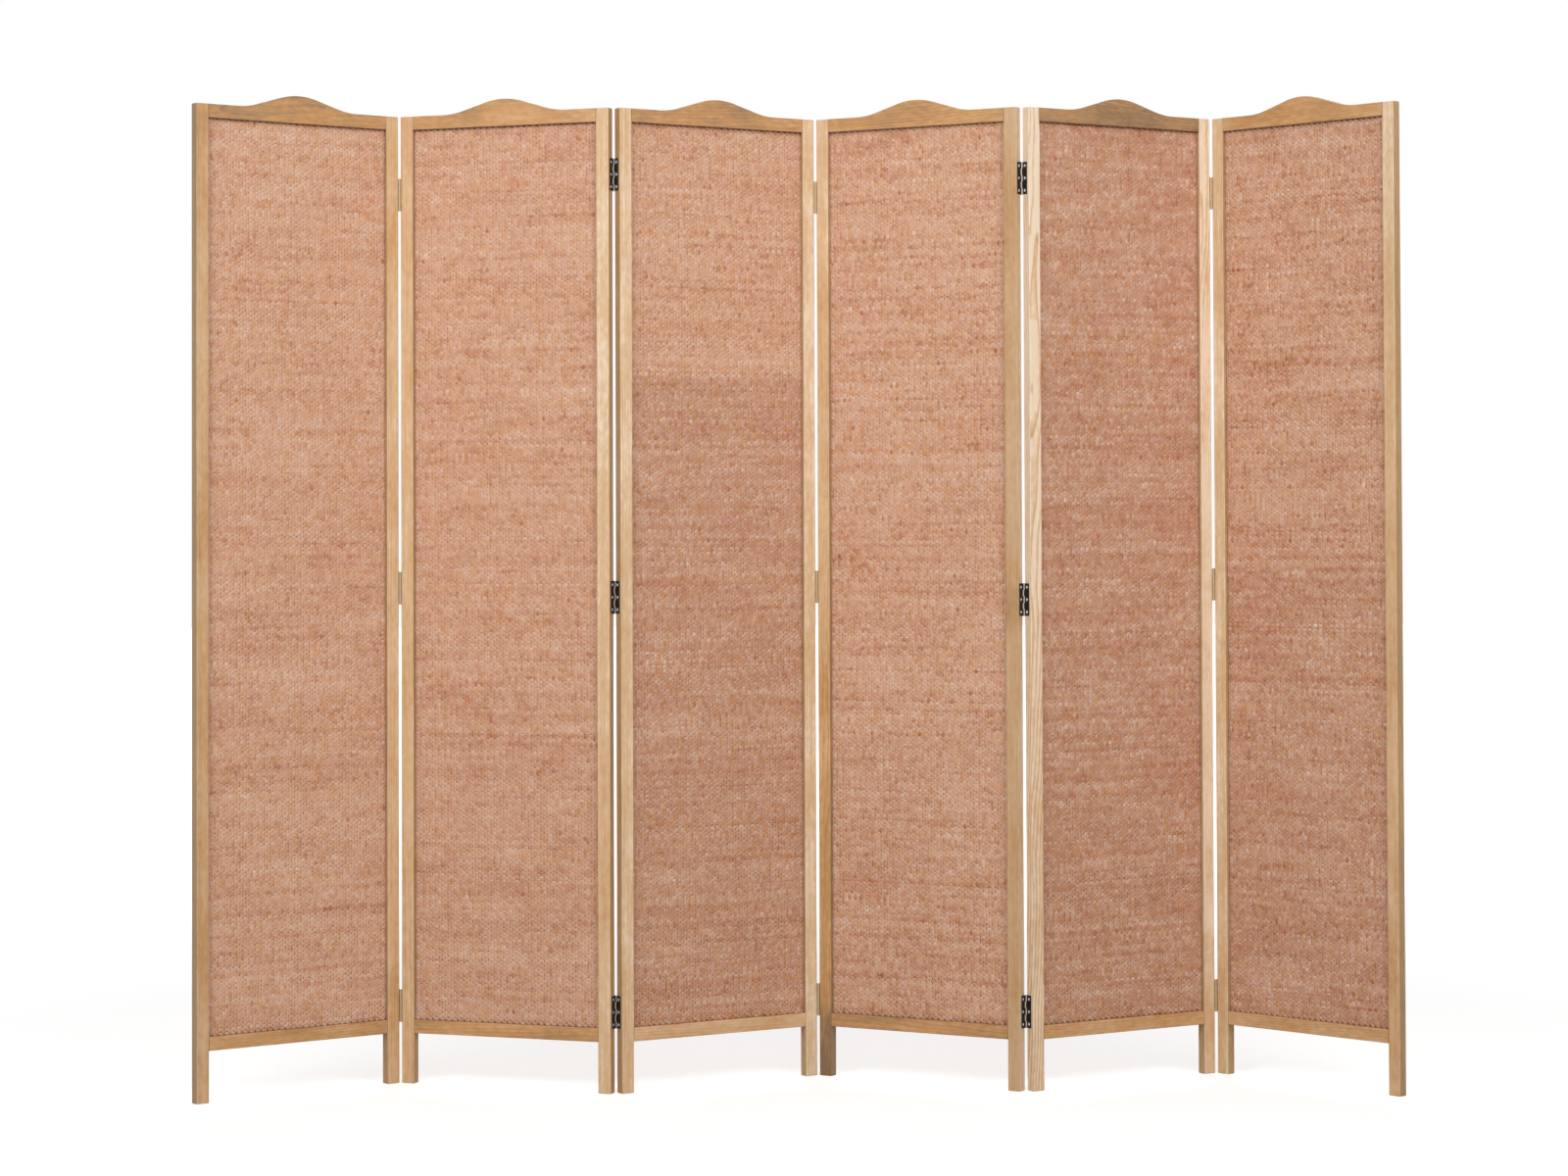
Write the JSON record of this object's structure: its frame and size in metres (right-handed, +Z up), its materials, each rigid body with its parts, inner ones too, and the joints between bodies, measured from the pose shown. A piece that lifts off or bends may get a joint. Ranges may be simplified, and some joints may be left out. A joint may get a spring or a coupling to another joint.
{
  "type": "room divider",
  "caption": "Free-standing folding screen: tall wooden frames with crested top rails and woven inserts, joined in a zigzag by butt hinges, to divide a room or block a view.",
  "frame": {"origin": "on the floor, in the middle of the outline of the screen as it stands in its zigzag", "axes": "+X along the screen from panel 1 to panel 6, +Y to the back (the picture looks along +Y), +Z up"},
  "size_m": [2.0658, 0.3418, 1.724],
  "materials": {
    "stile_wood": "thin clear matt finish on pale straight-grained wood",
    "rail_wood": "thin clear matt finish on warmer wood, grain along the rail",
    "woven_fibre": "matt twisted fibre cord in plain weave, red-brown",
    "dowel_wood": "bare beech dowel",
    "hinge_bronze": "dark bronze lacquer, satin",
    "hinge_pin": "dull bronzed steel",
    "screw_steel": "bright zinc plate"
  },
  "bodies": {
    "panel_1": {"panel_1_left_stile": "stile_wood", "panel_1_right_stile": "stile_wood", "panel_1_top_rail": "rail_wood", "panel_1_bottom_rail": "rail_wood", "panel_1_woven_insert": "woven_fibre", "panel_1_dowels": "dowel_wood", "panel_1_hinge_screws": "screw_steel", "hinge_1_2_left_leaves": "hinge_bronze", "hinge_1_2_pins": "hinge_pin"},
    "panel_2": {"panel_2_left_stile": "stile_wood", "panel_2_right_stile": "stile_wood", "panel_2_top_rail": "rail_wood", "panel_2_bottom_rail": "rail_wood", "panel_2_woven_insert": "woven_fibre", "panel_2_dowels": "dowel_wood", "panel_2_hinge_screws": "screw_steel", "hinge_1_2_right_leaves": "hinge_bronze", "hinge_2_3_left_leaves": "hinge_bronze", "hinge_2_3_pins": "hinge_pin"},
    "panel_3": {"panel_3_left_stile": "stile_wood", "panel_3_right_stile": "stile_wood", "panel_3_top_rail": "rail_wood", "panel_3_bottom_rail": "rail_wood", "panel_3_woven_insert": "woven_fibre", "panel_3_dowels": "dowel_wood", "panel_3_hinge_screws": "screw_steel", "hinge_2_3_right_leaves": "hinge_bronze", "hinge_3_4_left_leaves": "hinge_bronze", "hinge_3_4_pins": "hinge_pin"},
    "panel_4": {"panel_4_left_stile": "stile_wood", "panel_4_right_stile": "stile_wood", "panel_4_top_rail": "rail_wood", "panel_4_bottom_rail": "rail_wood", "panel_4_woven_insert": "woven_fibre", "panel_4_dowels": "dowel_wood", "panel_4_hinge_screws": "screw_steel", "hinge_3_4_right_leaves": "hinge_bronze", "hinge_4_5_left_leaves": "hinge_bronze", "hinge_4_5_pins": "hinge_pin"},
    "panel_5": {"panel_5_left_stile": "stile_wood", "panel_5_right_stile": "stile_wood", "panel_5_top_rail": "rail_wood", "panel_5_bottom_rail": "rail_wood", "panel_5_woven_insert": "woven_fibre", "panel_5_dowels": "dowel_wood", "panel_5_hinge_screws": "screw_steel", "hinge_4_5_right_leaves": "hinge_bronze", "hinge_5_6_left_leaves": "hinge_bronze", "hinge_5_6_pins": "hinge_pin"},
    "panel_6": {"panel_6_left_stile": "stile_wood", "panel_6_right_stile": "stile_wood", "panel_6_top_rail": "rail_wood", "panel_6_bottom_rail": "rail_wood", "panel_6_woven_insert": "woven_fibre", "panel_6_dowels": "dowel_wood", "panel_6_hinge_screws": "screw_steel", "hinge_5_6_right_leaves": "hinge_bronze"}
  },
  "joints": [
    {"name": "hinge_2_3", "type": "hinge", "parent": "panel_3", "child": "panel_2", "pos_m": [-0.31813, -0.0535, 0.85], "axis": [0, 0, -1], "range_deg": [-53.3, 126.7]},
    {"name": "hinge_1_2", "type": "hinge", "parent": "panel_2", "child": "panel_1", "pos_m": [-0.70167, 0.06887, 0.85], "axis": [0, 0, 1], "range_deg": [-57.9, 122.1]},
    {"name": "hinge_3_4", "type": "hinge", "parent": "panel_3", "child": "panel_4", "pos_m": [0.03263, 0.14411, 0.85], "axis": [0, 0, -1], "range_deg": [-63.2, 116.8]},
    {"name": "hinge_4_5", "type": "hinge", "parent": "panel_4", "child": "panel_5", "pos_m": [0.38942, -0.04239, 0.85], "axis": [0, 0, 1], "range_deg": [-63.2, 116.8]},
    {"name": "hinge_5_6", "type": "hinge", "parent": "panel_5", "child": "panel_6", "pos_m": [0.74017, 0.15522, 0.85], "axis": [0, 0, -1], "range_deg": [-78.4, 101.6]}
  ]
}
